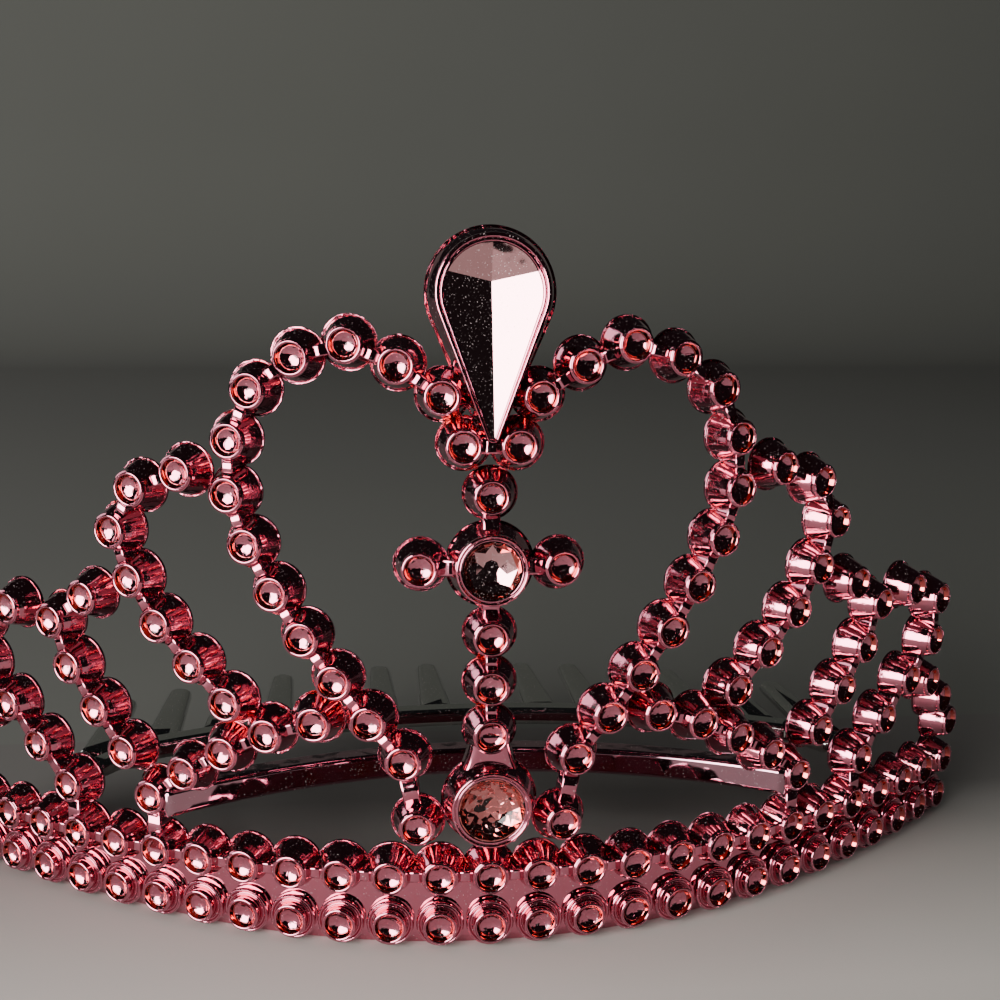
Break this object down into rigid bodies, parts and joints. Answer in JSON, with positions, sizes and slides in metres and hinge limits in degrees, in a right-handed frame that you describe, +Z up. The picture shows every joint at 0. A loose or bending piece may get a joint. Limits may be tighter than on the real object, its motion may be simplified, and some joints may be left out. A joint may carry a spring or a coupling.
{
  "type": "mini crown headband",
  "caption": "Small moulded party crown: a pierced front of cupped studs with a teardrop stone on top, on a curved base band, with a rear bar and a hair comb.",
  "frame": {"origin": "middle of the base band's flat foot at the front centre, on the ground", "axes": "+X across the crown's width, +Y from the front to the comb, +Z up"},
  "size_m": [0.1046, 0.047, 0.0623],
  "materials": {
    "pink_metallised": "moulded plastic, metallised and lacquered pink, mirror gloss",
    "stone_metallised": "moulded hollow facets, metallised and lacquered pink, mirror gloss",
    "rear_metallised": "metallised, thin pink lacquer on the rear parts, gloss",
    "comb_metallised": "metallised silver with hardly any lacquer, gloss"
  },
  "bodies": {
    "root": {"base_band": "pink_metallised", "centre_column": "pink_metallised", "teardrop_setting": "pink_metallised", "great_arch_left": "pink_metallised", "great_arch_right": "pink_metallised", "swag_left": "pink_metallised", "swag_right": "pink_metallised", "second_arch_left": "pink_metallised", "second_arch_right": "pink_metallised", "third_arch_left": "pink_metallised", "third_arch_right": "pink_metallised", "fourth_arch_left": "pink_metallised", "fourth_arch_right": "pink_metallised", "end_arch_left": "pink_metallised", "end_arch_right": "pink_metallised", "teardrop_stone": "stone_metallised", "cross_stone": "stone_metallised", "base_stone": "stone_metallised", "rear_bar": "rear_metallised", "comb": "comb_metallised"}
  },
  "joints": []
}
